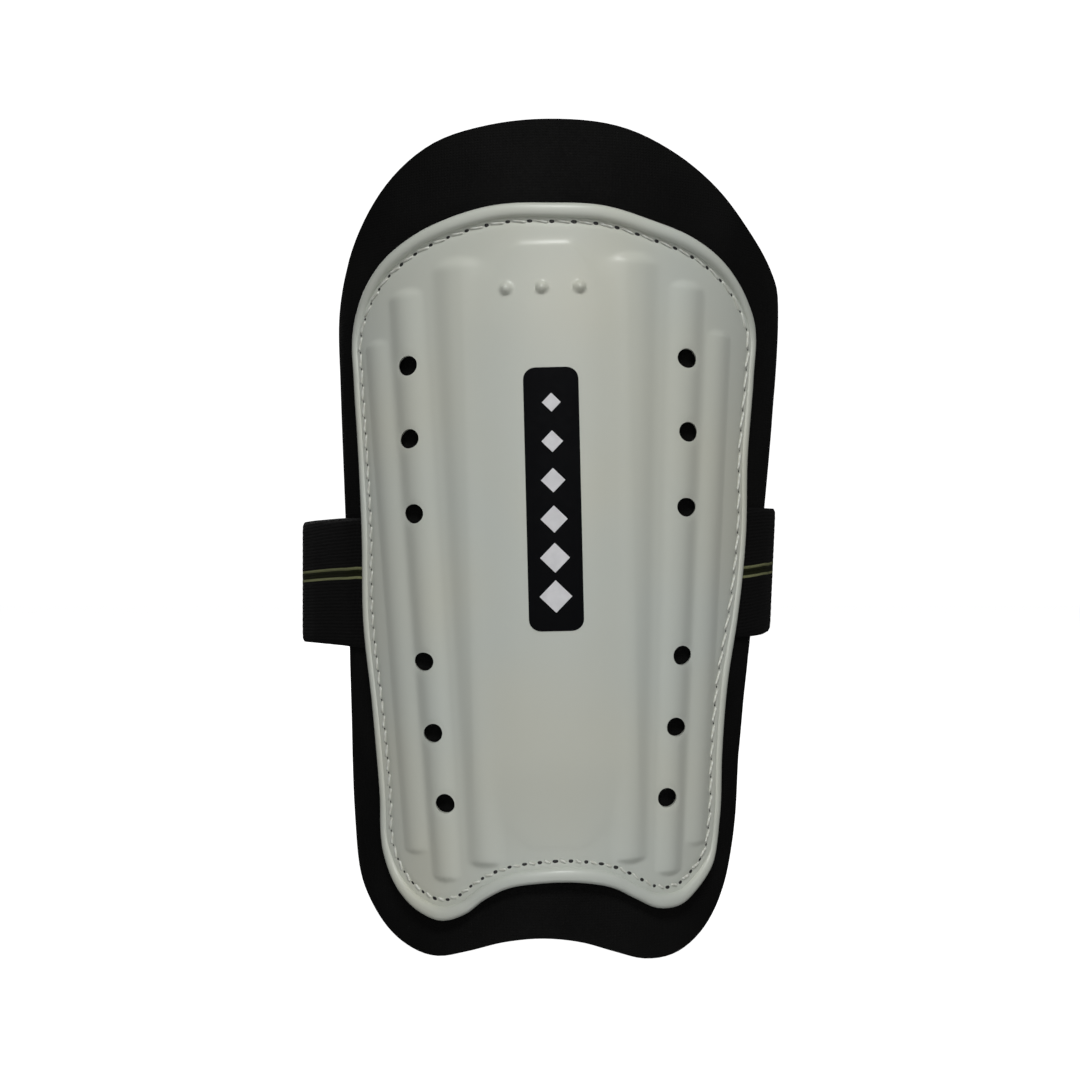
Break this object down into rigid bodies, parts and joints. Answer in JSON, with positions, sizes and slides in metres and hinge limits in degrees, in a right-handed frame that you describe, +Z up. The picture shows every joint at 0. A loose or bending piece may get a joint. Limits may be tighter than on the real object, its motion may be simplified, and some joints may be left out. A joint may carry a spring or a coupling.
{
  "type": "shin guard",
  "caption": "Curved sports leg guard: a ribbed, vented moulded shell sewn to a foam backing, with an elastic strap that closes behind the calf.",
  "frame": {"origin": "on the axis of the wearer's leg, level with the middle of the pad's height", "axes": "+Z up the leg towards the knee, the shell faces -Y, +X to the right as the shell is looked at from the front"},
  "size_m": [0.1511, 0.136, 0.2324],
  "materials": {
    "shell_plastic": "satin moulded sheet",
    "rim_plastic": "satin rolled edge",
    "shell_thread": "twisted thread",
    "badge_ink": "printed ink",
    "facing": "knitted facing",
    "foam": "closed-cell foam",
    "lining": "brushed lining",
    "elastic": "ribbed elastic",
    "tab_webbing": "woven tape",
    "hook_tape": "hooks",
    "loop_tape": "fuzzy loops",
    "strap_thread": "thread"
  },
  "bodies": {
    "pad": {"shell": "shell_plastic", "shell_rim": "rim_plastic", "shell_stitching": "shell_thread", "front_badge": "badge_ink", "facing_fabric": "facing", "foam_core": "foam", "lining_fabric": "lining", "strap_root_left": "elastic", "strap_root_right": "elastic"},
    "long_side": {"long_strap": "elastic"},
    "tab": {"closure_tab": "tab_webbing", "hook_patch": "hook_tape", "hook_stitching": "strap_thread"},
    "short_side": {"short_strap": "elastic", "loop_patch": "loop_tape", "loop_stitching": "strap_thread"}
  },
  "joints": [
    {"name": "long_strap_swing", "type": "hinge", "parent": "pad", "child": "long_side", "pos_m": [-0.0629, -0.0311, -0.0111], "axis": [0, 0, 1], "range_deg": [0, 110]},
    {"name": "tab_peel", "type": "hinge", "parent": "long_side", "child": "tab", "pos_m": [0.0028, 0.0589, -0.013], "axis": [0, 0, 1], "range_deg": [0, 100]},
    {"name": "short_strap_fold", "type": "hinge", "parent": "pad", "child": "short_side", "pos_m": [0.0639, -0.0239, -0.008], "axis": [0, 0, 1], "range_deg": [0, 35]}
  ]
}
